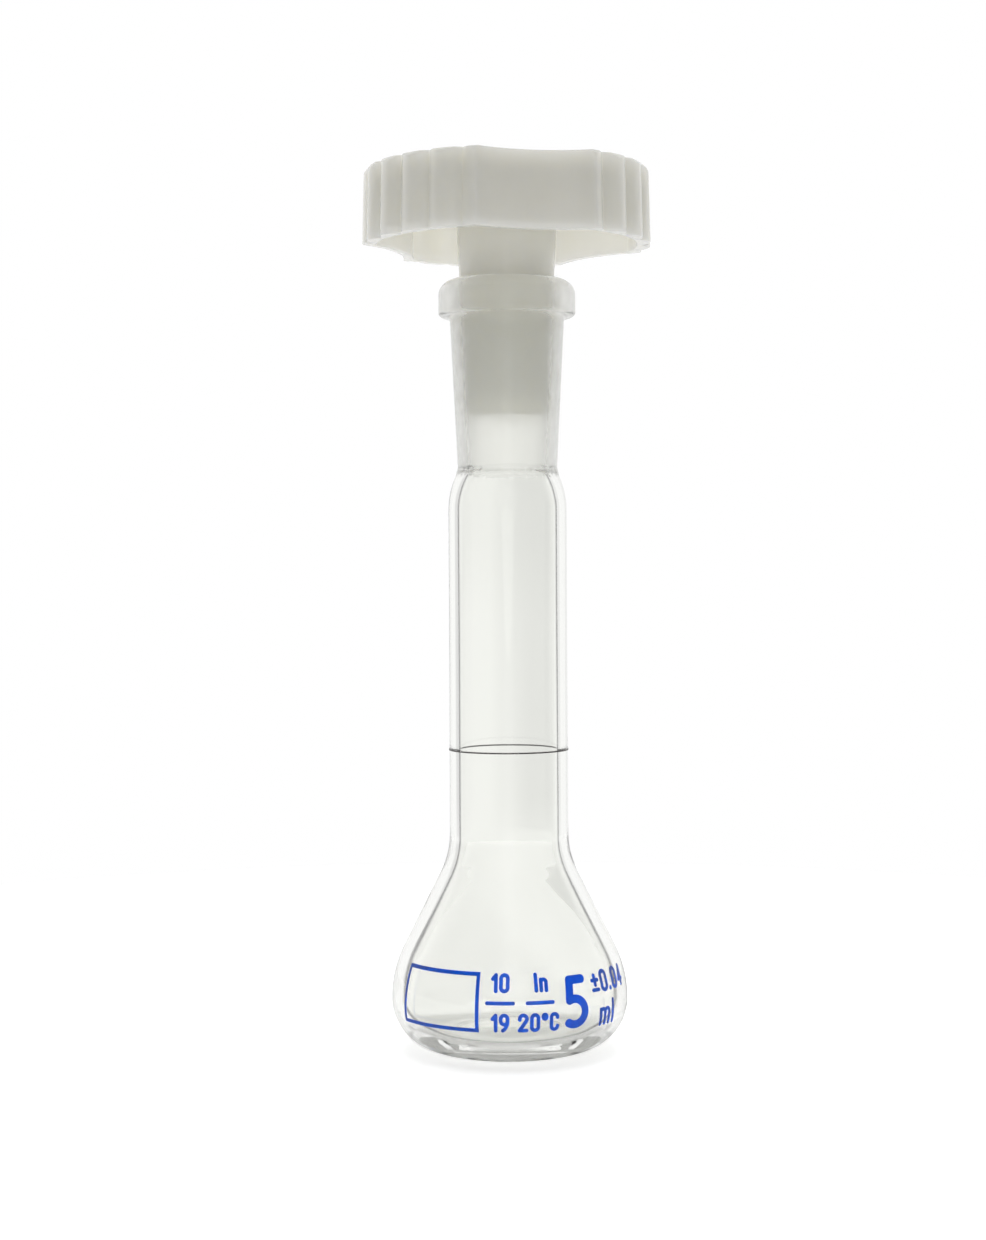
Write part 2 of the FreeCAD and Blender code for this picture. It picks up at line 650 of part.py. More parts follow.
def make_writing_panel(doc, sheet):
    """The plain enamel frame of the writing panel, beside the characters."""
    bulb = number(sheet, BULB_RADIUS)
    pen = number(sheet, "sizes.letter_pen")
    middle = number(sheet, "sizes.print_middle")
    side = SLAB_SIDE * bulb

    def patch(length, span):
        """The coat over a height and a span of angles about the panel's middle."""
        sector = enamel_sector(sheet, PANEL_AZIMUTH, span)
        slab = Part.makeBox(side, side, length)
        slab.translate(FreeCAD.Vector(-side / 2, -side / 2, middle - length / 2))
        return sector.common(slab)

    length = number(sheet, "sizes.panel_length")
    span = math.degrees(number(sheet, "sizes.panel_width") / bulb)
    inset = 2 * math.degrees(pen / bulb)
    frame = patch(length, span).cut(patch(length - 2 * pen, span - inset))
    return add_solid(doc, "writing_panel", frame)


def main():
    """Builds every piece, checks it and writes it to its own STEP file."""
    doc = FreeCAD.newDocument("volumetric_flask")
    sheet = make_sheet(doc)
    pieces = [
        make_bulb_and_neck(doc, sheet),
        make_ground_socket(doc, sheet),
        make_ring_mark(doc, sheet),
        make_stopper(doc, sheet),
        make_writing_panel(doc, sheet),
    ]
    pieces.extend(make_prints(doc, sheet))
    doc.recompute()
    for thing in doc.Objects:
        if "Invalid" in thing.State or "Error" in thing.State:
            raise RuntimeError(f"{thing.Name} failed: {thing.State}")
    os.makedirs(OUTPUT_FOLDER, exist_ok=True)
    for piece in pieces:
        if piece.Shape.isNull() or not piece.Shape.isValid() or not piece.Shape.Solids:
            raise RuntimeError(f"{piece.Label} has no valid shape")
        print(piece.Label, len(piece.Shape.Solids), round(piece.Shape.Volume, 3), piece.Shape.BoundBox)
        piece.Shape.exportStep(os.path.join(OUTPUT_FOLDER, f"{piece.Label}.step"))


main()
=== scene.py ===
"""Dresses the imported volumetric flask: clear glass, ground socket, moulded stopper and enamel print.

All sizes are in millimetres until a mesh is written, and in metres in Blender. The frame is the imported
part's own: +Z up along the flask's axis, the origin at the centre of the base, the print facing -Y.
"""

import json
import logging
import math
from dataclasses import dataclass, field
from enum import Enum
from typing import Callable

import bmesh
import bpy
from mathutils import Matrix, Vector, noise


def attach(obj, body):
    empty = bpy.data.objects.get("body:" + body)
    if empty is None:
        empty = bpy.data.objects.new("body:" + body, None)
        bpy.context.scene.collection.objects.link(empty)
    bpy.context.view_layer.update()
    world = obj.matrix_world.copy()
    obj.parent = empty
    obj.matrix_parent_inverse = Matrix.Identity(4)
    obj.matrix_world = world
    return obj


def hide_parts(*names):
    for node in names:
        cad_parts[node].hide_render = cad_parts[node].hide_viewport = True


LOG = logging.getLogger("flask")
Station = tuple[Callable[[float], float], float]
Colour = tuple[float, float, float]
Spot = tuple[float, float]
Place = tuple[float, float, float]
Span = tuple[float, float]
Socket = bpy.types.NodeSocket

# One millimetre in metres.
MM = 0.001
# Points of an outline that lie nearer than this, in millimetres, are one point.
SAME_POINT = 1e-6
# Corners of a turned wall that lie nearer than this, in millimetres, are merged.
SAME_CORNER = 1e-5
# Most of a noise's values lie between these two.
NOISE_SPAN = (0.3, 0.7)
# Facing values between which glass goes from its own tint to its edge tint: painted shade that darkens the
# glass where it is seen at a grazing angle.
GRAZING_SHADE_SPAN = (0.66, 0.85)
# The stretch of a noise that is alike along X, Y and Z.
EVEN = (1.0, 1.0, 1.0)
# White, as red, green, blue and cover.
WHITE = (1.0, 1.0, 1.0, 1.0)

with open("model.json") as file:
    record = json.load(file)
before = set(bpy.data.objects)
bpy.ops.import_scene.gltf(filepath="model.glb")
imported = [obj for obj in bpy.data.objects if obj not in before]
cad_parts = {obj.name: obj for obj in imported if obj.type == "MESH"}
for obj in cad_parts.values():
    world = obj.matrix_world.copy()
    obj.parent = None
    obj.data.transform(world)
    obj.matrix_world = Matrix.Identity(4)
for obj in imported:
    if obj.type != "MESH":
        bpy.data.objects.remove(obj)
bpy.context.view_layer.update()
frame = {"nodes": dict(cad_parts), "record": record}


class Body(Enum):
    """The moving bodies of the part."""

    FLASK = "flask"
    STOPPER = "stopper"


class Slot(Enum):
    """The record's material slots."""

    CLEAR_GLASS = "clear_glass"
    RING_STAIN = "ring_stain"
    BLUE_ENAMEL = "blue_enamel"
    STOPPER_PLASTIC = "stopper_plastic"


class GlassFace(Enum):
    """The kinds of glass face, numbered as the flask's materials are."""

    CLEAR = 0
    GROUND = 1
    DULL = 2
    INNER = 3


class NodeTree:
    """A node tree, with short ways to add and join nodes."""

    def __init__(self, tree: bpy.types.NodeTree) -> None:
        """Empties a tree and takes it over."""
        self.tree = tree
        self.tree.nodes.clear()

    def add(self, kind: str, **settings: object) -> bpy.types.Node:
        """Adds a node.

        Args:
            kind: the node's type without its ShaderNode prefix.
            settings: properties to set on the node.

        Returns:
            The new node.
        """
        node = self.tree.nodes.new(f"ShaderNode{kind}")
        for key, value in settings.items():
            setattr(node, key, value)
        return node

    def join(self, source: Socket, target: Socket) -> None:
        """Links one socket to another."""
        self.tree.links.new(source, target)

    def feed(self, target: Socket, term: Socket | float) -> None:
        """Links a socket to another, or gives it a plain number.

        Args:
            target: the socket to feed.
            term: another node's socket, or a number.
        """
        if isinstance(term, Socket):
            self.join(term, target)
        else:
            target.default_value = term

    def math(self, operation: str, *terms: Socket | float) -> Socket:
        """Adds a sum.

        Args:
            operation: the sum's name in Blender.
            terms: its sockets and numbers, in order.

        Returns:
            The sum's result.
        """
        node = self.add("Math", operation=operation)
        for target, term in zip(node.inputs, terms):
            self.feed(target, term)
        return node.outputs["Value"]

    def mix(self, factor: Socket, first: Socket | float, second: Socket | float) -> Socket:
        """Blends two values.

        Args:
            factor: 0 for the first value, 1 for the second.
            first: the first value.
            second: the second value.

        Returns:
            The blend.
        """
        node = self.add("Mix")
        self.join(factor, node.inputs["Factor"])
        self.feed(node.inputs["A"], first)
        self.feed(node.inputs["B"], second)
        return node.outputs["Result"]

    def span(
        self, value: Socket, source: Span, target: tuple[Socket | float, float], **settings: object
    ) -> Socket:
        """Maps one range of a value to another, held at both ends.

        Args:
            value: the value.
            source: the range that is mapped.
            target: the results at its two ends.
            settings: properties to set on the node.

        Returns:
            The mapped value.
        """
        node = self.add("MapRange", **settings)
        for socket, term in zip(node.inputs, (value, *source, *target)):
            self.feed(socket, term)
        return node.outputs["Result"]


class NodeSheet(NodeTree):
    """A material's node tree."""

    def __init__(self, name: str) -> None:
        """Starts an empty material.

        Args:
            name: the material's name.
        """
        self.material = bpy.data.materials.new(name)
        self.material.use_nodes = True
        super().__init__(self.material.node_tree)
        self.output = self.add("OutputMaterial")

    def place(self) -> Socket:
        """The piece's own coordinates in metres."""
        return self.add("TexCoord").outputs["Object"]

    def cloud(self, scale: float, detail: float, stretch: tuple[float, float, float]) -> Socket:
        """A soft noise over the piece.

        Args:
            scale: the noise's scale per metre.
            detail: how many finer layers it has.
            stretch: factors along the piece's axes.

        Returns:
            The noise's value, from 0 to 1.
        """
        mapping = self.add("Mapping")
        mapping.inputs["Scale"].default_value = stretch
        self.join(self.place(), mapping.inputs["Vector"])
        texture = self.add("TexNoise")
        texture.inputs["Scale"].default_value = scale
        texture.inputs["Detail"].default_value = detail
        self.join(mapping.outputs["Vector"], texture.inputs["Vector"])
        return texture.outputs["Fac"]

    def tint(self, value: Socket, first: Colour, second: Colour) -> Socket:
        """Blends two colours by a noise or another value from 0 to 1.

        Args:
            value: the noise.
            first: the colour at its low end.
            second: the colour at its high end.

        Returns:
            The blended colour.
        """
        ramp = self.add("ValToRGB")
        for element, position, colour in zip(ramp.color_ramp.elements, NOISE_SPAN, (first, second)):
            element.position = position
            element.color = (*colour, 1.0)
        self.join(value, ramp.inputs["Fac"])
        return ramp.outputs["Color"]

    def relief(self, value: Socket, strength: float, depth: float) -> Socket:
        """Turns a noise into a fine surface relief.

        Args:
            value: the noise.
            strength: how much of the relief shows.
            depth: its depth in metres.

        Returns:
            The relief's normal.
        """
        bump = self.add("Bump")
        bump.inputs["Strength"].default_value = strength
        bump.inputs["Distance"].default_value = depth
        self.join(value, bump.inputs["Height"])
        return bump.outputs["Normal"]

    def principled(self) -> bpy.types.Node:
        """Adds the main shader and joins it to the output.

        Returns:
            The shader's node.
        """
        shader = self.add("BsdfPrincipled")
        self.join(shader.outputs["BSDF"], self.output.inputs["Surface"])
        return shader


@dataclass(frozen=True)
class GlassFinish:
    """Laboratory glass, polished or ground.

    Attributes:
        name: the material's name.
        colour: the tint of light that passes.
        smooth: roughness of the clean parts.
        smudged: roughness where the surface is handled or ground deeper.
        grain: scale of the roughness pattern per metre.
        ripple: depth of the surface's ripple in metres.
        edge: painted shade: the tint that the glass darkens to where it is seen at a grazing angle, which
            paints dark lines along its walls.
        bending: the glass's index of refraction.
        drawn_out: how the pattern is stretched along the tube.
    """

    name: str
    colour: Colour
    smooth: float
    smudged: float
    grain: float
    ripple: float
    edge: Colour
    bending: float = 1.473
    drawn_out: tuple[float, float, float] = (1.0, 1.0, 0.5)

    def make(self) -> bpy.types.Material:
        """Builds the material.

        Returns:
            The new material.
        """
        sheet = NodeSheet(self.name)
        shader = sheet.principled()
        # Painted shade: the base colour goes over to the edge tint where the face is seen at a grazing
        # angle, so the glass's walls get painted dark lines.
        facing = sheet.add("LayerWeight").outputs["Facing"]
        edge_shade = sheet.span(facing, GRAZING_SHADE_SPAN, (0.0, 1.0))
        sheet.join(sheet.tint(edge_shade, self.colour, self.edge), shader.inputs["Base Color"])
        shader.inputs["Transmission Weight"].default_value = 1.0
        shader.inputs["IOR"].default_value = self.bending
        pattern = sheet.cloud(self.grain, detail=3.0, stretch=self.drawn_out)
        roughness = sheet.span(pattern, NOISE_SPAN, (self.smooth, self.smudged))
        sheet.join(roughness, shader.inputs["Roughness"])
        sheet.join(sheet.relief(pattern, strength=1.0, depth=self.ripple), shader.inputs["Normal"])
        return sheet.material


@dataclass(frozen=True)
class PlasticFinish:
    """Natural polyethylene: milky, waxy and slightly see-through.

    Attributes:
        name: the material's name.
        pale: the lighter tone.
        deep: the tone where the moulding is cloudier.
        reach: how far light spreads inside, in metres.
        smooth: least roughness of the moulded skin.
        rough: its greatest roughness.
        bending: the plastic's index of refraction.
        share: how far red, green and blue light spread, as shares of the reach.
        clouds: scale of the cloudiness per metre.
        drawn_out: how the cloudiness is stretched along the plug.
        grain: scale of the skin's grain per metre.
        strength: how much of the grain shows.
        depth: depth of the grain in metres.
    """

    name: str
    pale: Colour
    deep: Colour
    reach: float
    smooth: float
    rough: float
    bending: float = 1.5
    share: Colour = (1.0, 0.95, 0.82)
    clouds: float = 260.0
    drawn_out: tuple[float, float, float] = (1.0, 1.0, 0.6)
    grain: float = 2600.0
    strength: float = 0.2
    depth: float = 0.00002

    def make(self) -> bpy.types.Material:
        """Builds the material.

        Returns:
            The new material.
        """
        sheet = NodeSheet(self.name)
        shader = sheet.principled()
        flow = sheet.cloud(self.clouds, detail=3.0, stretch=self.drawn_out)
        sheet.join(sheet.tint(flow, self.deep, self.pale), shader.inputs["Base Color"])
        shader.inputs["Subsurface Weight"].default_value = 1.0
        shader.inputs["Subsurface Radius"].default_value = self.share
        shader.inputs["Subsurface Scale"].default_value = self.reach
        shader.inputs["IOR"].default_value = self.bending
        skin = sheet.cloud(self.grain, detail=2.0, stretch=EVEN)
        sheet.join(sheet.span(skin, NOISE_SPAN, (self.smooth, self.rough)), shader.inputs["Roughness"])
        sheet.join(sheet.relief(skin, self.strength, self.depth), shader.inputs["Normal"])
        return sheet.material


@dataclass(frozen=True)
class EnamelFinish:
    """Fired colour on glass: nearly opaque, a little uneven, with a soft gloss.

    Attributes:
        name: the material's name.
        thick: the tone where the coat is thick.
        thin: the tone where it is thin.
        smooth: least roughness of the fired surface.
        rough: its greatest roughness.
        glow: share of the light that passes through the thin coat.
        grain: scale of the coat's grain per metre.
        strength: how much of the grain shows.
        depth: depth of the grain in metres.
    """

    name: str
    thick: Colour
    thin: Colour
    smooth: float
    rough: float
    glow: float
    grain: float = 1900.0
    strength: float = 0.5
    depth: float = 0.00001

    def make(self) -> bpy.types.Material:
        """Builds the material.

        Returns:
            The new material.
        """
        sheet = NodeSheet(self.name)
        shader = sheet.principled()
        grain = sheet.cloud(self.grain, detail=3.0, stretch=EVEN)
        sheet.join(sheet.tint(grain, self.thick, self.thin), shader.inputs["Base Color"])
        sheet.join(sheet.span(grain, NOISE_SPAN, (self.smooth, self.rough)), shader.inputs["Roughness"])
        sheet.join(sheet.relief(grain, self.strength, self.depth), shader.inputs["Normal"])
        shader.inputs["Transmission Weight"].default_value = self.glow
        return sheet.material


CLEAR_TINT = (0.945, 0.95, 0.925)
DULL_TINT = (0.98, 0.98, 0.95)
GROUND_TINT = (0.98, 0.98, 0.945)
# Painted shade: the tints at a grazing angle; the clear one paints grey edges, and the nearly black inner
# one paints dark lines along the inner walls.
CLEAR_EDGE_SHADE = (0.80, 0.81, 0.79)
INNER_EDGE_SHADE = (0.005, 0.005, 0.006)
GLASS_FINISHES = {
    GlassFace.CLEAR: GlassFinish("clear glass", CLEAR_TINT, 0.0, 0.012, 90.0, 0.000002, CLEAR_EDGE_SHADE),
    GlassFace.GROUND: GlassFinish("ground glass", GROUND_TINT, 0.42, 0.58, 1600.0, 0.000012, GROUND_TINT),
    GlassFace.DULL: GlassFinish("dull glass", DULL_TINT, 0.16, 0.24, 500.0, 0.000001, DULL_TINT),
    GlassFace.INNER: GlassFinish("inner glass", CLEAR_TINT, 0.0, 0.008, 90.0, 0.000002, INNER_EDGE_SHADE),
}
MILKY_PLASTIC = PlasticFinish(
    "milky polyethylene", (0.825, 0.81, 0.725), (0.805, 0.79, 0.70), 0.007, 0.15, 0.27
)
BLUE_ENAMEL = EnamelFinish("blue enamel", (0.001, 0.07, 0.58), (0.002, 0.09, 0.66), 0.32, 0.48, 0.3)
RING_STAIN = EnamelFinish("dark ring stain", (0.055, 0.05, 0.045), (0.11, 0.10, 0.095), 0.37, 0.53, 0.15)


class Section:
    """A wall's outline in the plane of the axis, as radius and height in millimetres."""

    def __init__(self) -> None:
        """Starts with no points."""
        self.points: list[Spot] = []

    def to(self, radius: float, height: float, pitch: float = 1.2) -> None:
        """Draws a straight side, divided so that no stretch is longer than the pitch.

        Args:
            radius: where the side ends, from the axis.
            height: where it ends, above the base.
            pitch: the longest stretch.
        """
        start = Vector(self.points[-1])
        end = Vector((radius, height))
        count = max(1, math.ceil((end - start).length / pitch))
        for step in range(1, count + 1):
            self.points.append(tuple(start.lerp(end, step / count)))

    def bend(self, centre: Spot, radius: float, start: float, end: float, steps: int) -> None:
        """Draws an arc.

        Args:
            centre: the arc's middle.
            radius: its radius.
            start: the angle at which it starts, in degrees from the outward direction.
            end: the angle at which it ends.
            steps: how many stretches it has.
        """
        for step in range(steps + 1):
            angle = math.radians(start + (end - start) * step / steps)
            point = (centre[0] + radius * math.cos(angle), centre[1] + radius * math.sin(angle))
            if not self.points or math.dist(point, self.points[-1]) > SAME_POINT:
                self.points.append(point)


def finish_piece(
    name: str,
    mesh: bmesh.types.BMesh,
    materials: list[bpy.types.Material],
    body: Body,
    nodes: list[str],
) -> None:
    """Turns a finished bmesh into a piece that rides on a body and stands for CAD nodes.

    Args:
        name: the piece's name.
        mesh: its geometry in millimetres, which is freed.
        materials: its materials in slot order.
        body: the body that it rides on.
        nodes: the CAD nodes that it stands for.
    """
    bmesh.ops.scale(mesh, vec=(MM, MM, MM), verts=mesh.verts)
    for face in mesh.faces:
        face.smooth = True
    data = bpy.data.meshes.new(name)
    mesh.to_mesh(data)
    mesh.free()
    for material in materials:
        data.materials.append(material)
    piece = bpy.data.objects.new(name, data)
    bpy.context.scene.collection.objects.link(piece)
    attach(piece, body.value)
    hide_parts(*nodes)
    LOG.info("%s: %d faces", name, len(data.polygons))


def turned(section: Section, steps: int) -> bmesh.types.BMesh:
    """Spins a wall's outline, whose two ends lie on the axis, about the axis.

    Args:
        section: the outline.
        steps: how many flats the turn has.

    Returns:
        The closed wall, with its faces pointing outwards.
    """
    mesh = bmesh.new()
    corners = [mesh.verts.new((radius, 0.0, height)) for radius, height in section.points]
    edges = [mesh.edges.new(pair) for pair in zip(corners, corners[1:])]
    bmesh.ops.spin(
        mesh,
        geom=corners + edges,
        cent=(0.0, 0.0, 0.0),
        axis=(0.0, 0.0, 1.0),
        angle=math.tau,
        steps=steps,
        use_merge=True,
    )
    bmesh.ops.remove_doubles(mesh, verts=mesh.verts, dist=SAME_CORNER)
    bmesh.ops.recalc_face_normals(mesh, faces=mesh.faces)
    return mesh


@dataclass
class Flask:
    """The glass flask: bulb and neck blown from one tube, and the ground socket sealed on top.

    Sizes are in millimetres and degrees.

    Attributes:
        bulb_radius: greatest radius of the bulb.
        bulb_wall: wall of the bulb.
        corner: rounding of the foot.
        arc: radius of the bulb's bulge.
        lean: lean of the bulb's cone from upright.
        base: thickness of the base.
        kick: how far the base's middle is pushed up.
        foot_ring: width of the ring that the flask stands on.
        neck_radius: outer radius of the neck.
        neck_wall: wall of the neck.
        fillet: radius of the hollow between cone and neck.
        neck_top: height at which the neck starts to close in.
        seam: height of the seam between neck and socket.
        rim: height of the rim.
        socket_wall: wall of the socket.
        bead_radius: outer radius of the bead.
        bead_length: height of the bead.
        bead_top: rounding of its upper side.
        bead_edge: rounding of its lower edge.
        bead_fillet: hollow under it.
        lip: rounding of the rim's inner edge.
        cone_top: height at which the stopper's cone starts.
        cone_radius: radius of that cone's wide end.
        taper: radius lost per length of cone and bore.
        clearance: gap between cone and bore.
        steps: how many flats the turn has.
        fine_zone: length above the seam that is finely divided.
        fine_pitch: longest stretch in that zone.
        unevenness: how far the glass may lie off its drawing.
        streaks: how many times longer the unevenness is along the axis than round it.
        uneven_wave: fineness of the unevenness per millimetre.
        socket_share: share of the unevenness that the socket has.
        calm_radius: radius about the axis that stays even.
        calm_foot: height above the base that stays even.
        calm_rim: depth under the rim that stays even.
        weld_sway: how far the seam's ring strays up and down.
        weld_sway_wave: fineness of that straying per millimetre.
        weld_half: half of the ring's height.
        weld_rise: how far the ring stands out.
        weld_swell: how much that varies.
        weld_swell_wave: fineness of that variation per millimetre.
        ground_drop: how far the grinding reaches below the seam.
        ground_sway: how far its edge strays.
        ground_wave: fineness of that straying per millimetre.
        ground_margin: how far a ground face may lie off the bore.
        dull_drop: how far the bead's dulled skin reaches below it.
        inward: a face whose normal points outwards by less than this is an inner one.
    """

    bulb_radius: float = 11.75
    bulb_wall: float = 1.05
    corner: float = 5.0
    arc: float = 11.5
    lean: float = 26.5
    base: float = 1.8
    kick: float = 0.5
    foot_ring: float = 1.5
    neck_radius: float = 5.925
    neck_wall: float = 0.95
    fillet: float = 8.0
    neck_top: float = 53.5
    seam: float = 57.5
    rim: float = 76.5
    socket_wall: float = 1.15
    bead_radius: float = 6.84
    bead_length: float = 3.6
    bead_top: float = 1.5
    bead_edge: float = 0.4
    bead_fillet: float = 0.6
    lip: float = 0.35
    cone_top: float = 81.9
    cone_radius: float = 5.0
    taper: float = 0.05
    clearance: float = 0.03
    steps: int = 192
    fine_zone: float = 1.5
    fine_pitch: float = 0.1
    unevenness: float = 0.035
    streaks: float = 9.0
    uneven_wave: float = 0.33
    socket_share: float = 0.3
    calm_radius: float = 2.5
    calm_foot: float = 0.4
    calm_rim: float = 0.6
    weld_sway: float = 0.22
    weld_sway_wave: float = 0.9
    weld_half: float = 0.3
    weld_rise: float = 0.07
    weld_swell: float = 0.09
    weld_swell_wave: float = 1.7
    ground_drop: float = 0.4
    ground_sway: float = 0.5
    ground_wave: float = 2.6
    ground_margin: float = 0.25
    dull_drop: float = 0.2
    inward: float = -0.2

    def bore(self, height: float) -> float:
        """Radius of the ground bore at a height."""
        return self.cone_radius - self.taper * (self.cone_top - height) + self.clearance

    def side(self, wall: float, neck: float, fillet: float) -> tuple[Spot, Spot]:
        """Works out one face of the bulb's cone.

        Args:
            wall: how far the face lies inside the bulb's outside.
            neck: the neck's radius on that face.
            fillet: the hollow between cone and neck.

        Returns:
            The middle of the bulb's arc and the middle of the hollow.
        """
        turn = math.radians(self.lean)
        radius = self.arc - wall
        middle = (self.bulb_radius - self.arc, self.corner)
        end = (middle[0] + radius * math.cos(turn), middle[1] + radius * math.sin(turn))
        start_r = neck + fillet * (1 - math.cos(turn))
        start_z = end[1] + (end[0] - start_r) / math.tan(turn)
        return middle, (neck + fillet, start_z + fillet * math.sin(turn))

    def closing(self, section: Section, wide: float, narrow: float, upward: bool) -> None:
        """Draws the arc by which the neck closes to the seam.

        Args:
            section: the outline to draw on.
            wide: the neck's radius on that face.
            narrow: the seam's radius on that face.
            upward: whether the outline runs up the arc or down it.
        """
        rise = self.seam - self.neck_top
        fall = wide - narrow
        radius = (rise * rise + fall * fall) / (2 * fall)
        angle = math.degrees(math.asin(rise / radius))
        ends = (0.0, angle) if upward else (angle, 0.0)
        section.bend((wide - radius, self.neck_top), radius, *ends, steps=20)

    def uneven(self, mesh: bmesh.types.BMesh) -> None:
        """Gives the wall the slight unevenness of drawn and worked glass.

        Args:
            mesh: the wall, in millimetres.
        """
        for vertex in mesh.verts:
            flat = Vector((vertex.co.x, vertex.co.y, 0.0))
            if flat.length > self.calm_radius and self.calm_foot < vertex.co.z < self.rim - self.calm_rim:
                spot = Vector((flat.x, flat.y, vertex.co.z / self.streaks)) * self.uneven_wave
                share = 1.0 if vertex.co.z < self.seam else self.socket_share
                shift = noise.noise(spot) * (share * self.unevenness)
                vertex.co += flat.normalized() * shift

    def weld(self, mesh: bmesh.types.BMesh) -> None:
        """Raises the irregular ring that the flame left where the socket was sealed on.

        Args:
            mesh: the wall, in millimetres.
        """
        aside = Vector((3.0, 5.0, 0.0))
        for vertex in mesh.verts:
            flat = Vector((vertex.co.x, vertex.co.y, 0.0))
            middle = self.seam + self.weld_sway * noise.noise(flat * self.weld_sway_wave)
            height = (vertex.co.z - middle) / self.weld_half
            if abs(height) < 1.0:
                swell = self.weld_swell * noise.noise(flat * self.weld_swell_wave + aside)
                rise = (1 - height * height) * (self.weld_rise + swell)
                outward = 1.0 if flat.length > self.bore(self.seam) + self.socket_wall / 2 else -1.0
                vertex.co += flat.normalized() * rise * outward

    def outside(self, section: Section) -> None:
        """Draws the outer face, from the middle of the base up to the rim.

        Args:
            section: the outline to draw on.
        """
        foot = self.bulb_radius - self.corner
        dome = self.dome()
        half = math.degrees(math.asin((foot - self.foot_ring) / dome))
        turn = math.radians(self.lean)
        middle, hollow = self.side(0.0, self.neck_radius, self.fillet)
        section.bend((0.0, self.kick - dome), dome, 90.0, 90.0 - half, steps=12)
        section.to(foot, 0.0)
        section.bend((foot, self.corner), self.corner, -90.0, 0.0, steps=28)
        section.bend(middle, self.arc, 0.0, self.lean, steps=16)
        section.to(hollow[0] - self.fillet * math.cos(turn), hollow[1] - self.fillet * math.sin(turn))
        section.bend(hollow, self.fillet, 180.0 + self.lean, 180.0, steps=14)
        section.to(self.neck_radius, self.neck_top)
        self.closing(section, self.neck_radius, self.bore(self.seam) + self.socket_wall, True)
        self.bead(section)

    def bead(self, section: Section) -> None:
        """Draws the socket's outer face from the seam, over the beaded rim, to its inner edge.

        Args:
            section: the outline to draw on.
        """
        bead_bottom = self.rim - self.bead_length
        start = bead_bottom - self.bead_fillet
        socket = self.bore(start) + self.socket_wall
        edge = self.bead_radius - self.bead_edge
        crown = (self.bead_radius - self.bead_top, self.rim - self.bead_top)
        lip_end = self.rim - self.lip
        fine_end = self.seam + self.fine_zone
        section.to(self.bore(fine_end) + self.socket_wall, fine_end, self.fine_pitch)
        section.to(socket, start)
        section.bend((socket + self.bead_fillet, start), self.bead_fillet, 180.0, 90.0, steps=8)
        section.bend((edge, bead_bottom + self.bead_edge), self.bead_edge, -90.0, 0.0, steps=8)
        section.bend(crown, self.bead_top, 0.0, 90.0, steps=14)
        section.bend((self.bore(lip_end) + self.lip, lip_end), self.lip, 90.0, 180.0, steps=8)

    def inside(self, section: Section) -> None:
        """Draws the inner face, from the ground bore down to the middle of the floor.

        Args:
            section: the outline to draw on.
        """
        foot_inner = self.bulb_radius - self.corner - self.foot_ring
        dome = self.dome()
        half = math.degrees(math.asin(foot_inner / dome))
        floor = self.corner - self.base
        neck = self.neck_radius - self.neck_wall
        fillet = self.fillet + self.neck_wall
        arc = self.arc - self.bulb_wall
        turn = math.radians(self.lean)
        middle, hollow = self.side(self.bulb_wall, neck, fillet)
        fine_end = self.seam + self.fine_zone
        section.to(self.bore(fine_end), fine_end)
        section.to(self.bore(self.seam), self.seam, self.fine_pitch)
        self.closing(section, neck, self.bore(self.seam), False)
        section.to(neck, hollow[1])
        section.bend(hollow, fillet, 180.0, 180.0 + self.lean, steps=14)
        section.to(middle[0] + arc * math.cos(turn), middle[1] + arc * math.sin(turn))
        section.bend(middle, arc, self.lean, 0.0, steps=16)
        section.bend((self.bulb_radius - self.bulb_wall - floor, self.corner), floor, 0.0, -90.0, steps=20)
        section.to(foot_inner, self.base)
        section.bend((0.0, self.base + self.kick - dome), dome, 90.0 - half, 90.0, steps=12)

    def dome(self) -> float:
        """Radius of the pushed-up middle of the base."""
        reach = self.bulb_radius - self.corner - self.foot_ring
        return (reach ** 2 + self.kick ** 2) / (2 * self.kick)

    def is_ground(self, spot: Vector) -> bool:
        """Tells whether a place lies on the ground bore of the socket.

        Args:
            spot: the place, in millimetres.

        Returns:
            True on the ground bore.
        """
        flat = Vector((spot.x, spot.y, 0.0))
        edge = self.seam - self.ground_drop + self.ground_sway * noise.noise(flat * self.ground_wave)
        near = flat.length < self.bore(spot.z) + self.ground_margin
        return near and edge < spot.z < self.rim - self.lip

    def kind(self, face: bmesh.types.BMFace) -> GlassFace:
        """Tells what kind of glass a face is.

        Args:
            face: a face of the wall, in millimetres.

        Returns:
            The face's kind.
        """
        middle = face.calc_center_median()
        if self.is_ground(middle):
            return GlassFace.GROUND
        if middle.z > self.rim - self.bead_length - self.dull_drop:
            return GlassFace.DULL
        outward = Vector((middle.x, middle.y, 0.0)).normalized()
        return GlassFace.INNER if face.normal.dot(outward) < self.inward else GlassFace.CLEAR

    def glass(self) -> None:
        """Builds the whole glass: bulb, neck and socket, melted into one."""
        section = Section()
        self.outside(section)
        self.inside(section)
        mesh = turned(section, self.steps)
        for face in mesh.faces:
            face.material_index = self.kind(face).value
        self.uneven(mesh)
        self.weld(mesh)
        materials = [GLASS_FINISHES[kind].make() for kind in GlassFace]
        nodes = ["bulb_and_neck", "ground_socket"]
        finish_piece("flask_glass", mesh, materials, Body.FLASK, nodes)

    def dress_print(self) -> None:
        """Gives the ring mark and the enamel characters their fired colours."""
        colours = {
            Slot.BLUE_ENAMEL.value: BLUE_ENAMEL.make(),
            Slot.RING_STAIN.value: RING_STAIN.make(),
        }
        for entry in frame["record"]["subparts"]:
            if entry["material_slot"] in colours:
                node = frame["nodes"][entry["node"]]
                node.data.materials.clear()
                node.data.materials.append(colours[entry["material_slot"]])
                LOG.info("%s: fired colour", entry["node"])

    def build(self) -> None:
        """Builds the glass and dresses the print."""
        self.glass()
        self.dress_print()


def grown_from(vertex: bmesh.types.BMVert, fresh: set[bmesh.types.BMVert]) -> bmesh.types.BMVert:
    """The one of the fresh corners that an extrusion has grown from an old corner."""
    return next(edge.other_vert(vertex) for edge in vertex.link_edges if edge.other_vert(vertex) in fresh)


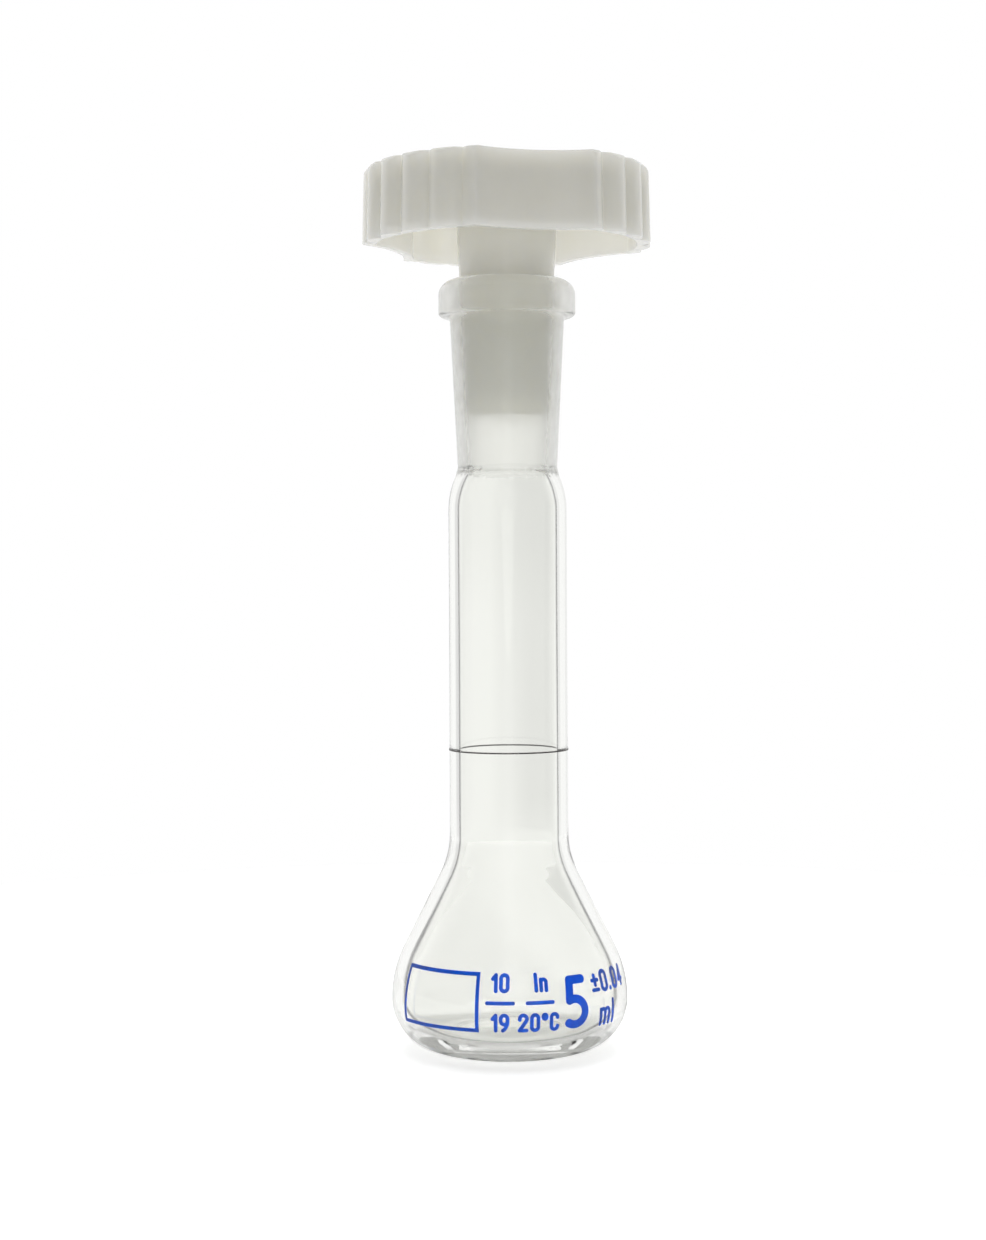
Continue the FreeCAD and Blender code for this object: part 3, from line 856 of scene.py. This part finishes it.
@dataclass
class Stopper:
    """The moulded stopper: ridged head with three thumb recesses, skirt, stem and hollow cone plug.

    Its skin is a row of rings, the stations, each with a distance from the axis for a direction, and a
    height. Sizes are in millimetres and degrees.

    Attributes:
        turn: how far the head is turned about the axis.
        cone_top: height at which the plug's cone starts.
        cone_length: length of the cone.
        taper: radius lost per length of the cone.
        stem: radius of the stem, and of the cone's wide end.
        plug_wall: wall of the hollow plug.
        plug_floor: thickness of its closed end.
        plug_edge: rounding of its outer end.
        end_ring: radius of the last ring, on the plug's end.
        cone_break: how far above and below the cone's start the next rings lie.
        cone_steps: how many stretches the cone has.
        core_ring: how far the first ring lies inside the wall of the core's floor.
        core_edge: rounding of the core's floor.
        core_lip: rounding of the core's upper edge.
        bottom: height of the skirt's lower edge.
        height: height of the head.
        plate: thickness of its top plate.
        plate_ring: radius of the rings on the plate's two faces.
        plate_inset: how far the plate's outer ring lies inside the head's side.
        head: greatest radius of the head.
        ridge_depth: depth of the grooves between the ridges.
        ridges: how many ridges a whole turn has.
        ridge_steps: how many flats a ridge has.
        draft: lean of the head's side.
        edge: rounding of the head's upper edge.
        edge_steps: how many stretches that rounding has.
        side_steps: how many stretches the side below it has.
        soft: softness of the moulding's sharp edges.
        ease: share of the softness at its middle ring.
        skirt: wall of the skirt under a groove.
        skirt_steps: how many stretches the skirt's inner face has, and its corner.
        skirt_corner: rounding between the skirt's inner face and the plate.
        stem_corner: rounding between the stem and the plate.
        recesses: how many thumb recesses there are.
        recess_radius: radius of a recess's hollow.
        recess_depth: its depth.
        recess_wall: its wall.
        away: distance that stands for no limit.
        nudge: small turn that keeps a direction on a groove from falling on either ridge by rounding.
        stations: the rings of the skin, in order.
    """

    turn: float = 12.0
    cone_top: float = 81.9
    cone_length: float = 19.0
    taper: float = 0.05
    stem: float = 5.0
    plug_wall: float = 1.3
    plug_floor: float = 1.6
    plug_edge: float = 0.4
    end_ring: float = 1.5
    cone_break: float = 0.1
    cone_steps: int = 8
    core_ring: float = 0.5
    core_edge: float = 0.3
    core_lip: float = 0.25
    bottom: float = 79.9
    height: float = 7.5
    plate: float = 1.5
    plate_ring: float = 9.0
    plate_inset: float = 0.6
    head: float = 14.45
    ridge_depth: float = 0.75
    ridges: int = 24
    ridge_steps: int = 28
    draft: float = 1.4
    edge: float = 0.6
    edge_steps: int = 7
    side_steps: int = 6
    soft: float = 0.14
    ease: float = 0.3
    skirt: float = 0.7
    skirt_steps: int = 4
    skirt_corner: float = 0.4
    stem_corner: float = 0.6
    recesses: int = 3
    recess_radius: float = 13.5
    recess_depth: float = 2.6
    recess_wall: float = 1.0
    away: float = 100.0
    nudge: float = 0.001
    stations: list[Station] = field(default_factory=list)

    def recess(self, angle: float, wall: float) -> float:
        """Distance from the axis to a thumb recess's face.

        Args:
            angle: direction from the axis, in degrees, in the stopper's own turn.
            wall: how far the face lies inside the recess's outside.

        Returns:
            The distance in millimetres, or a large one away from the recesses.
        """
        sector = 360.0 / self.recesses
        off = math.radians((angle + 90.0 + sector / 2) % sector - sector / 2)
        reach = self.head + self.recess_radius - self.recess_depth
        radius = self.recess_radius + wall
        inside = radius ** 2 - (reach * math.sin(off)) ** 2
        if inside <= 0.0:
            return self.away
        return reach * math.cos(off) - math.sqrt(inside)

    def outside(self, angle: float) -> float:
        """Distance from the axis to the ridged outside at the skirt's lower edge.

        Args:
            angle: direction from the axis, in degrees, in the stopper's own turn.

        Returns:
            The distance in millimetres.
        """
        pitch = 360.0 / self.ridges
        half = math.radians(pitch / 2)
        groove = self.head - self.ridge_depth
        root = Vector((groove * math.cos(half), groove * math.sin(half)))
        rise = self.head - root.x
        radius = (root.y ** 2 + rise ** 2) / (2 * rise)
        centre = self.head - radius
        off = math.radians((angle + self.nudge) % pitch - self.nudge - pitch / 2)
        ridge = centre * math.cos(off) + math.sqrt(radius ** 2 - (centre * math.sin(off)) ** 2)
        return min(ridge, self.recess(angle, 0.0))

    def inside(self, inset: float) -> Callable[[float], float]:
        """The skirt's inner face.

        Args:
            inset: how far the ring lies inside that face, towards the axis.

        Returns:
            The distance from the axis for a direction in degrees.
        """
        plain = self.head - self.ridge_depth - self.skirt
        return lambda angle: min(plain, self.recess(angle, self.recess_wall)) - inset

    def skin(self, height: float, inset: float) -> Callable[[float], float]:
        """The head's outside at a height, with its draft and its rounded upper edge.

        Args:
            height: height above the base.
            inset: how far the ring lies inside that outside.

        Returns:
            The distance from the axis for a direction in degrees.
        """
        top = self.bottom + self.height
        taper = math.tan(math.radians(self.draft))
        crest = self.head - self.height * taper
        above = max(0.0, height - (top - self.edge))
        round_off = crest - self.edge + math.sqrt(max(0.0, self.edge ** 2 - above ** 2))
        limit = round_off if above > 0.0 else self.away
        return lambda angle: min(self.outside(angle) - (height - self.bottom) * taper, limit) - inset

    def cone(self, height: float) -> float:
        """Radius of the plug's cone at a height."""
        return self.stem - self.taper * (self.cone_top - height)

    def round_station(self, radius: float, height: float) -> None:
        """Adds a plain round ring to the stopper's skin."""
        self.stations.append((lambda angle: radius, height))

    def bend_stations(
        self, middle: Spot, radius: float, start: float, end: float, steps: int, first: int = 0
    ) -> None:
        """Adds plain round rings along an arc of the skin's outline.

        Args:
            middle: the arc's middle, as radius and height.
            radius: the arc's radius.
            start: the angle at which it starts, in degrees from the outward direction.
            end: the angle at which it ends.
            steps: how many stretches it has.
            first: number of the first corner that gets a ring.
        """
        arc = Section()
        arc.bend(middle, radius, start, end, steps)
        for corner in arc.points[first:]:
            self.round_station(*corner)

    def core_stations(self) -> None:
        """Lays out the hollow of the plug, from its floor up to the head's top."""
        floor = self.cone_top - self.cone_length + self.plug_floor
        low = self.cone(floor) - self.plug_wall
        wide = self.stem - self.plug_wall
        top = self.bottom + self.height
        edge = self.core_edge
        lip = self.core_lip
        self.round_station(low - self.core_ring, floor)
        self.bend_stations((low - edge, floor + edge), edge, -90.0, 0.0, steps=4)
        self.round_station(wide, self.cone_top)
        self.bend_stations((wide + lip, top - lip), lip, 180.0, 90.0, steps=4)
        self.round_station(self.plate_ring, top)

    def head_stations(self) -> None:
        """Lays out the head from its top plate, down the ridges, to the skirt's lower edge."""
        top = self.bottom + self.height
        soft = self.soft
        eased = soft * self.ease
        self.stations.append((self.skin(top - soft, self.plate_inset), top))
        self.stations.append((self.skin(top - soft, soft), top))
        self.stations.append((self.skin(top - 2 * eased, eased), top - eased))
        for step in range(self.edge_steps + 1):
            height = top - soft - (self.edge - soft) * step / self.edge_steps
            self.stations.append((self.skin(height, 0.0), height))
        for step in range(1, self.side_steps + 1):
            height = top - self.edge - (self.height - self.edge - soft) * step / self.side_steps
            self.stations.append((self.skin(height, 0.0), height))
        self.stations.append((self.skin(self.bottom, eased), self.bottom + eased))
        self.stations.append((self.skin(self.bottom, soft), self.bottom))

    def skirt_stations(self) -> None:
        """Lays out the skirt's inner face, from its lower edge up to the top plate."""
        eased = self.soft * self.ease
        start = self.bottom + self.soft
        end = self.bottom + self.height - self.plate - self.skirt_corner
        self.stations.append((self.inside(-self.soft), self.bottom))
        self.stations.append((self.inside(-eased), self.bottom + eased))
        for step in range(self.skirt_steps + 1):
            self.stations.append((self.inside(0.0), start + (end - start) * step / self.skirt_steps))
        for step in range(1, self.skirt_steps + 1):
            angle = math.radians(90.0 * step / self.skirt_steps)
            inset = self.skirt_corner * (1 - math.cos(angle))
            self.stations.append((self.inside(inset), end + self.skirt_corner * math.sin(angle)))

    def stem_stations(self) -> None:
        """Lays out the stem and the cone down to the plug's end."""
        ceiling = self.bottom + self.height - self.plate
        end = self.cone_top - self.cone_length
        corner = self.stem_corner
        edge = self.plug_edge
        low = self.cone(end + edge)
        self.round_station(self.plate_ring, ceiling)
        self.bend_stations((self.stem + corner, ceiling - corner), corner, 90.0, 180.0, steps=5)
        self.round_station(self.stem, self.cone_top + self.cone_break)
        start = self.cone_top - self.cone_break
        fall = self.cone_length - self.cone_break - edge
        for step in range(self.cone_steps + 1):
            height = start - fall * step / self.cone_steps
            self.round_station(self.cone(height), height)
        self.bend_stations((low - edge, end + edge), edge, 0.0, -90.0, steps=5, first=1)
        self.round_station(self.end_ring, end)

    def moulding(self) -> bmesh.types.BMesh:
        """Draws the closed skin through all stations.

        Returns:
            The skin, in millimetres.
        """
        count = self.ridges * self.ridge_steps
        mesh = bmesh.new()
        ring = list(bmesh.ops.create_circle(mesh, cap_ends=False, segments=count, radius=1.0)["verts"])
        angles = [math.degrees(math.atan2(vertex.co.y, vertex.co.x)) for vertex in ring]
        start_edges = list(mesh.edges)
        edges = start_edges
        for number, (radius, height) in enumerate(self.stations):
            if number:
                grown = bmesh.ops.extrude_edge_only(mesh, edges=edges)["geom"]
                fresh = {item for item in grown if isinstance(item, bmesh.types.BMVert)}
                edges = [item for item in grown if isinstance(item, bmesh.types.BMEdge)]
                edges = [edge for edge in edges if edge.verts[0] in fresh and edge.verts[1] in fresh]
                ring = [grown_from(vertex, fresh) for vertex in ring]
            for vertex, angle in zip(ring, angles):
                world = math.radians(angle + self.turn)
                reach = radius(angle)
                vertex.co = (reach * math.cos(world), reach * math.sin(world), height)
        caps = [bmesh.ops.contextual_create(mesh, geom=loop)["faces"][0] for loop in (start_edges, edges)]
        bmesh.ops.poke(mesh, faces=caps)
        bmesh.ops.recalc_face_normals(mesh, faces=mesh.faces)
        return mesh

    def build(self) -> None:
        """Builds the stopper as one closed skin and dresses it."""
        self.core_stations()
        self.head_stations()
        self.skirt_stations()
        self.stem_stations()
        materials = [MILKY_PLASTIC.make()]
        finish_piece("stopper_moulding", self.moulding(), materials, Body.STOPPER, ["stopper"])


@dataclass(frozen=True)
class Strip:
    """A darker upright strip of the surround.

    Attributes:
        middle: its direction in degrees from straight behind the object, positive to the right.
        half: half of its width in degrees.
        level: its brightness.
        soft: width of its soft sides in degrees.
    """

    middle: float
    half: float
    level: float
    soft: float = 4.0

    def stops(self) -> list[tuple[float, float]]:
        """Places and levels of the strip's corners."""
        return [
            (self.middle - self.half - self.soft, 1.0),
            (self.middle - self.half, self.level),
            (self.middle + self.half, self.level),
            (self.middle + self.half + self.soft, 1.0),
        ]


@dataclass(frozen=True)
class Lamp:
    """A soft round lamp that mirrors nowhere.

    Attributes:
        name: the lamp's name.
        place: where it hangs, in metres.
        aim: the point that it faces, in metres.
        size: its width in metres.
        energy: its power in watts.
        spread: how wide its beam opens, in degrees.
        through: whether it is seen through glass.
    """

    name: str
    place: Place
    aim: Place
    size: float
    energy: float
    spread: float = 180.0
    through: bool = True

    def hang(self) -> None:
        """Hangs the lamp in the scene."""
        data = bpy.data.lights.new(self.name, "AREA")
        data.shape = "DISK"
        data.size = self.size
        data.energy = self.energy
        data.spread = math.radians(self.spread)
        lamp = bpy.data.objects.new(self.name, data)
        lamp.location = self.place
        lamp.rotation_euler = (Vector(self.aim) - Vector(self.place)).to_track_quat("-Z", "Y").to_euler()
        lamp.visible_glossy = False
        lamp.visible_transmission = self.through
        bpy.context.scene.collection.objects.link(lamp)


@dataclass
class Studio:
    """The pale floor, the soft surround, the lamps and the camera.

    Lengths are in metres. Heights and depths of the surround are parts of a direction of length 1.

    Attributes:
        focal: lens in millimetres.
        sensor: the sensor's long side in millimetres.
        near: where the camera's view starts.
        distance: camera to axis.
        eye: camera height.
        aside: the camera's place across the axis, positive to the right.
        shift: vertical shift of the frame.
        roll: turn of the frame in degrees.
        floor_radius: radius of the floor's disc.
        floor_sides: how many sides the disc has.
        floor_tones: the floor's two colours.
        floor_grain: scale of the pattern that blends them, per metre.
        floor_roughness: the floor's roughness.
        floor_lift: light that the floor adds where it is seen, so that it meets the white surround.
        floor_glow: light that it adds where it is seen through glass.
        foot_glow: the same under the foot, where the glass shades it.
        foot_zone: distances from the axis between which the foot's light goes over to the floor's.
        edge_glow: more of the same at the floor's edge, where it meets the surround.
        edge_start: distance from the axis at which that starts.
        dim: the surround's level on the camera's side.
        brightening: depths between which the surround goes from dim to white.
        horizon: heights between which it goes over to white below the floor.
        strip_fade: heights between which the strips come in.
        window: level of the upright window behind the camera that glossy faces mirror.
        window_edges: directions of its soft side in degrees from straight behind the object.
        bounces: how many times light is followed through glass.
        strips: the darker strips of the surround that show through glass.
        lamps: broad lamps above and in front, and a narrow one in front that lights the lettering.
    """

    focal: float = 63.29
    sensor: float = 36.0
    near: float = 0.005
    distance: float = 0.218
    eye: float = 0.0467
    aside: float = -0.0015
    shift: float = -0.0331
    roll: float = 0.25
    floor_radius: float = 0.14
    floor_sides: int = 96
    floor_tones: tuple[Colour, Colour] = ((0.93, 0.93, 0.93), (0.95, 0.95, 0.95))
    floor_grain: float = 40.0
    floor_roughness: float = 0.9
    floor_lift: float = 0.5
    floor_glow: float = 0.24
    foot_glow: float = 0.25
    foot_zone: Span = (0.009, 0.018)
    edge_glow: float = 0.04
    edge_start: float = 0.03
    dim: float = 0.03
    brightening: Span = (-0.1, 0.4)
    horizon: Span = (0.02, -0.02)
    strip_fade: Span = (-0.15, -0.1)
    window: float = 0.5
    window_edges: Span = (166.0, 174.0)
    bounces: int = 24
    strips: tuple[Strip, ...] = (
        Strip(-70.0, 5.0, 0.6, 3.0),
        Strip(-49.0, 9.0, 0.75),
        Strip(8.0, 4.5, 0.84, 6.0),
        Strip(50.0, 6.0, 0.85),
        Strip(70.0, 5.0, 0.6, 3.0),
    )
    lamps: tuple[Lamp, ...] = (
        Lamp("ceiling lamp", (0.0, 0.1, 0.7), (0.0, 0.1, 0.0), 0.6, 2.0),
        Lamp("front lamp", (0.0, -0.6, 0.25), (0.0, 0.0, 0.05), 0.5, 0.25),
        Lamp("print lamp", (0.05, -0.35, 0.06), (0.0, 0.0, 0.008), 0.05, 0.006, spread=10.0, through=False),
    )

    def camera(self) -> None:
        """Sets up the camera at the photograph's place."""
        data = bpy.data.cameras.new("camera")
        data.lens = self.focal
        data.sensor_width = self.sensor
        data.sensor_fit = "AUTO"
        data.shift_y = self.shift
        data.clip_start = self.near
        camera = bpy.data.objects.new("camera", data)
        camera.location = (self.aside, -self.distance, self.eye)
        camera.rotation_euler = (math.radians(90.0), math.radians(self.roll), 0.0)
        bpy.context.scene.collection.objects.link(camera)
        bpy.context.scene.camera = camera

    def floor_finish(self) -> bpy.types.Material:
        """Builds the floor's material, which adds light where the floor is seen.

        Returns:
            The new material.
        """
        sheet = NodeSheet("white floor")
        shader = sheet.principled()
        grain = sheet.cloud(self.floor_grain, detail=2.0, stretch=EVEN)
        sheet.join(sheet.tint(grain, *self.floor_tones), shader.inputs["Base Color"])
        shader.inputs["Roughness"].default_value = self.floor_roughness
        path = sheet.add("LightPath").outputs
        length = sheet.add("VectorMath", operation="LENGTH")
        sheet.join(sheet.place(), length.inputs["Vector"])
        reach = length.outputs["Value"]
        inner = sheet.span(reach, self.foot_zone, (self.foot_glow, self.floor_glow))
        outer = self.floor_glow + self.edge_glow
        glow = sheet.span(reach, (self.edge_start, self.floor_radius), (inner, outer))
        through = sheet.math("MULTIPLY", path["Is Transmission Ray"], glow)
        lift = sheet.math("MULTIPLY_ADD", path["Is Camera Ray"], self.floor_lift, through)
        shader.inputs["Emission Color"].default_value = WHITE
        sheet.join(lift, shader.inputs["Emission Strength"])
        return sheet.material

    def floor(self) -> None:
        """Lays a wide white floor that keeps the object's shadow."""
        mesh = bmesh.new()
        bmesh.ops.create_circle(mesh, cap_ends=True, segments=self.floor_sides, radius=self.floor_radius)
        data = bpy.data.meshes.new("floor")
        mesh.to_mesh(data)
        mesh.free()
        data.materials.append(self.floor_finish())
        floor = bpy.data.objects.new("floor", data)
        bpy.context.scene.collection.objects.link(floor)

    def walls(self, tree: NodeTree, azimuth: Socket) -> Socket:
        """Adds the strips to the surround.

        Args:
            tree: the surround's nodes.
            azimuth: a direction in radians from straight behind the object.

        Returns:
            The level in that direction.
        """
        ramp = tree.add("ValToRGB")
        elements = ramp.color_ramp.elements
        for end in (elements[0], elements[-1]):
            end.color = WHITE
        for strip in self.strips:
            for degrees, level in strip.stops():
                elements.new(0.5 + degrees / 360.0).color = (level, level, level, 1.0)
        tree.join(tree.span(azimuth, (-math.pi, math.pi), (0.0, 1.0)), ramp.inputs["Fac"])
        return ramp.outputs["Color"]

    def surround(self) -> None:
        """Lights the scene from a white surround: dim towards the camera, and in strips through glass."""
        world = bpy.data.worlds.new("surround")
        bpy.context.scene.world = world
        world.use_nodes = True
        tree = NodeTree(world.node_tree)
        path = tree.add("LightPath").outputs
        split = tree.add("SeparateXYZ")
        tree.join(tree.add("TexCoord").outputs["Generated"], split.inputs["Vector"])
        right, back, up = split.outputs
        depth = tree.span(back, self.brightening, (self.dim, 1.0), interpolation_type="SMOOTHSTEP")
        dome = tree.math("MAXIMUM", depth, tree.span(up, self.horizon, (0.0, 1.0)))
        azimuth = tree.math("ARCTAN2", right, back)
        level = tree.span(up, self.strip_fade, (0.0, 1.0))
        upright = tree.mix(level, 1.0, self.walls(tree, azimuth))
        start, end = (math.radians(edge) for edge in self.window_edges)
        pane = tree.span(tree.math("ABSOLUTE", azimuth), (start, end), (0.0, self.window))
        gloss = tree.math("MULTIPLY_ADD", path["Is Glossy Ray"], pane, dome)
        through = tree.mix(path["Is Transmission Ray"], gloss, upright)
        seen = tree.mix(path["Is Camera Ray"], through, 1.0)
        light = tree.add("Background")
        light.inputs["Color"].default_value = WHITE
        tree.join(seen, light.inputs["Strength"])
        tree.join(light.outputs["Background"], tree.add("OutputWorld").inputs["Surface"])

    def build(self) -> None:
        """Builds the whole stage, and lets light bounce on through the thick glass of the foot."""
        self.camera()
        self.floor()
        self.surround()
        for lamp in self.lamps:
            lamp.hang()
        scene = bpy.context.scene
        scene.view_settings.view_transform = "Standard"
        scene.cycles.max_bounces = self.bounces
        scene.cycles.diffuse_bounces = self.bounces
        scene.cycles.glossy_bounces = self.bounces
        scene.cycles.transmission_bounces = self.bounces


def main() -> None:
    """Builds the dressed flask and its stage."""
    logging.basicConfig(level=logging.INFO, format="%(name)s %(message)s")
    Flask().build()
    Stopper().build()
    Studio().build()


if __name__ == "__main__":
    main()
